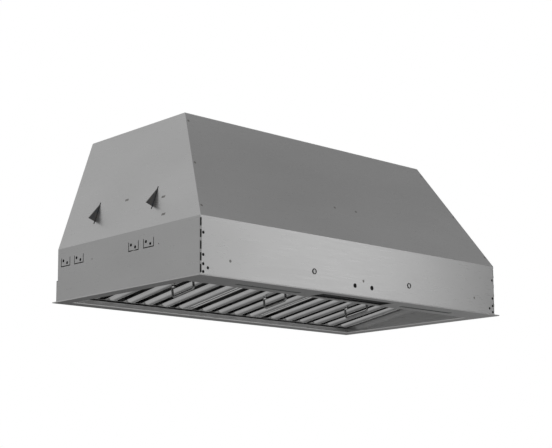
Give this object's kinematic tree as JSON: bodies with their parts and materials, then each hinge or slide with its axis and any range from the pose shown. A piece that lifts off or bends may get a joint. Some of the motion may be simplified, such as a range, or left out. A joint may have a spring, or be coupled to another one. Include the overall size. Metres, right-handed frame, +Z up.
{
  "type": "range hood insert",
  "caption": "Stainless liner insert for a cabinet hood, with sloped upper walls, baffle grease filters, a control strip, lamps, spring catches and a built-in blower.",
  "frame": {"origin": "middle of the rim's underside, on the plane that faces the cooktop", "axes": "+X to the hood's right seen from the front, +Y to the back, +Z up to the duct"},
  "size_m": [0.889, 0.492, 0.381],
  "materials": {
    "stainless": "directional brushed stainless, number four finish",
    "stainless_filter": "bright rolled stainless baffles",
    "galvanised": "zinc-coated sheet with a faint spangle",
    "spring_steel": "blued spring strip",
    "wire": "polished stainless wire",
    "fastener": "plain plated steel",
    "black_panel": "gloss black control strip",
    "button_black": "satin black moulded caps",
    "board": "green switch board",
    "lens": "frosted lens",
    "light_board": "white light strip",
    "motor_paint": "black baked paint"
  },
  "bodies": {
    "casing": {"front_panel": "stainless", "left_side_panel": "stainless", "right_side_panel": "stainless", "back_panel": "stainless", "roof_panel": "stainless", "rear_rail": "stainless", "rim_frame": "stainless", "left_liner": "stainless", "right_liner": "stainless", "rear_liner": "stainless", "front_liner": "stainless", "filter_springs": "spring_steel", "control_panel": "black_panel", "control_board": "board", "control_cover": "galvanised", "left_lamp_lens": "lens", "right_lamp_lens": "lens", "light_strips": "light_board", "left_lamp_housing": "galvanised", "right_lamp_housing": "galvanised", "catch_brackets": "galvanised", "catch_pins": "fastener", "catch_springs": "spring_steel", "duct_collar": "galvanised", "damper_rod": "fastener", "blower_scroll": "galvanised", "left_cheek": "galvanised", "right_cheek": "galvanised", "motor_body": "motor_paint", "motor_bracket": "galvanised", "discharge_box": "galvanised", "wiring_box": "galvanised", "wiring_cover": "galvanised", "front_rivets": "fastener", "case_screws": "fastener"},
    "left_filter": {"left_filter_frame": "stainless_filter", "left_lower_baffles": "stainless_filter", "left_upper_baffles": "stainless_filter"},
    "centre_filter": {"centre_filter_frame": "stainless_filter", "centre_lower_baffles": "stainless_filter", "centre_upper_baffles": "stainless_filter"},
    "right_filter": {"right_filter_frame": "stainless_filter", "right_lower_baffles": "stainless_filter", "right_upper_baffles": "stainless_filter"},
    "left_handle": {"left_bail": "wire"},
    "centre_handle": {"centre_bail": "wire"},
    "right_handle": {"right_bail": "wire"},
    "rotor": {"blower_wheel": "galvanised", "motor_shaft": "fastener"},
    "front_flap": {"front_damper_flap": "galvanised"},
    "rear_flap": {"rear_damper_flap": "galvanised"},
    "left_front_catch": {"catch_left_front": "spring_steel"},
    "left_rear_catch": {"catch_left_rear": "spring_steel"},
    "right_front_catch": {"catch_right_front": "spring_steel"},
    "right_rear_catch": {"catch_right_rear": "spring_steel"},
    "push_button_1": {"button_1": "button_black"},
    "push_button_2": {"button_2": "button_black"},
    "push_button_3": {"button_3": "button_black"},
    "push_button_4": {"button_4": "button_black"}
  },
  "joints": [
    {"name": "left_filter_drop", "type": "hinge", "parent": "casing", "child": "left_filter", "pos_m": [0, 0.216, 0.01317], "axis": [1, 0, 0], "range_deg": [0, 50]},
    {"name": "centre_filter_drop", "type": "hinge", "parent": "casing", "child": "centre_filter", "pos_m": [0, 0.216, 0.01317], "axis": [1, 0, 0], "range_deg": [0, 50]},
    {"name": "right_filter_drop", "type": "hinge", "parent": "casing", "child": "right_filter", "pos_m": [0, 0.216, 0.01317], "axis": [1, 0, 0], "range_deg": [0, 50]},
    {"name": "left_handle_swing", "type": "hinge", "parent": "left_filter", "child": "left_handle", "pos_m": [-0.27299, 0.02108, 0.03536], "axis": [0, 0.9879, -0.1551], "range_deg": [-75, 75]},
    {"name": "centre_handle_swing", "type": "hinge", "parent": "centre_filter", "child": "centre_handle", "pos_m": [-0.0138, 0.02108, 0.03536], "axis": [0, 0.9879, -0.1551], "range_deg": [-75, 75]},
    {"name": "right_handle_swing", "type": "hinge", "parent": "right_filter", "child": "right_handle", "pos_m": [0.24539, 0.02108, 0.03536], "axis": [0, 0.9879, -0.1551], "range_deg": [-75, 75]},
    {"name": "wheel_spin", "type": "hinge", "parent": "casing", "child": "rotor", "pos_m": [0, 0.027, 0.215], "axis": [1, 0, 0], "continuous": true},
    {"name": "front_flap_lift", "type": "hinge", "parent": "casing", "child": "front_flap", "pos_m": [0, 0.105, 0.366], "axis": [-1, 0, 0], "range_deg": [0, 75]},
    {"name": "rear_flap_lift", "type": "hinge", "parent": "casing", "child": "rear_flap", "pos_m": [0, 0.105, 0.366], "axis": [1, 0, 0], "range_deg": [0, 75]},
    {"name": "left_front_catch_press", "type": "hinge", "parent": "casing", "child": "left_front_catch", "pos_m": [-0.40174, -0.0686, 0.19823], "axis": [0, -1, 0], "range_deg": [0, 20.5], "stiffness_Nm_per_rad": 0.5, "springref_deg": -20.05},
    {"name": "left_rear_catch_press", "type": "hinge", "parent": "casing", "child": "left_rear_catch", "pos_m": [-0.40174, 0.1277, 0.19823], "axis": [0, -1, 0], "range_deg": [0, 20.5], "stiffness_Nm_per_rad": 0.5, "springref_deg": -20.05},
    {"name": "right_front_catch_press", "type": "hinge", "parent": "casing", "child": "right_front_catch", "pos_m": [0.40174, -0.0686, 0.19823], "axis": [0, 1, 0], "range_deg": [0, 20.5], "stiffness_Nm_per_rad": 0.5, "springref_deg": -20.05},
    {"name": "right_rear_catch_press", "type": "hinge", "parent": "casing", "child": "right_rear_catch", "pos_m": [0.40174, 0.1277, 0.19823], "axis": [0, 1, 0], "range_deg": [0, 20.5], "stiffness_Nm_per_rad": 0.5, "springref_deg": -20.05},
    {"name": "button_1_press", "type": "slide", "parent": "casing", "child": "push_button_1", "axis": [0, 0, 1], "range_m": [0, 0.0012], "stiffness_N_per_m": 300, "springref_m": -0.002},
    {"name": "button_2_press", "type": "slide", "parent": "casing", "child": "push_button_2", "axis": [0, 0, 1], "range_m": [0, 0.0012], "stiffness_N_per_m": 300, "springref_m": -0.002},
    {"name": "button_3_press", "type": "slide", "parent": "casing", "child": "push_button_3", "axis": [0, 0, 1], "range_m": [0, 0.0012], "stiffness_N_per_m": 300, "springref_m": -0.002},
    {"name": "button_4_press", "type": "slide", "parent": "casing", "child": "push_button_4", "axis": [0, 0, 1], "range_m": [0, 0.0012], "stiffness_N_per_m": 300, "springref_m": -0.002}
  ]
}
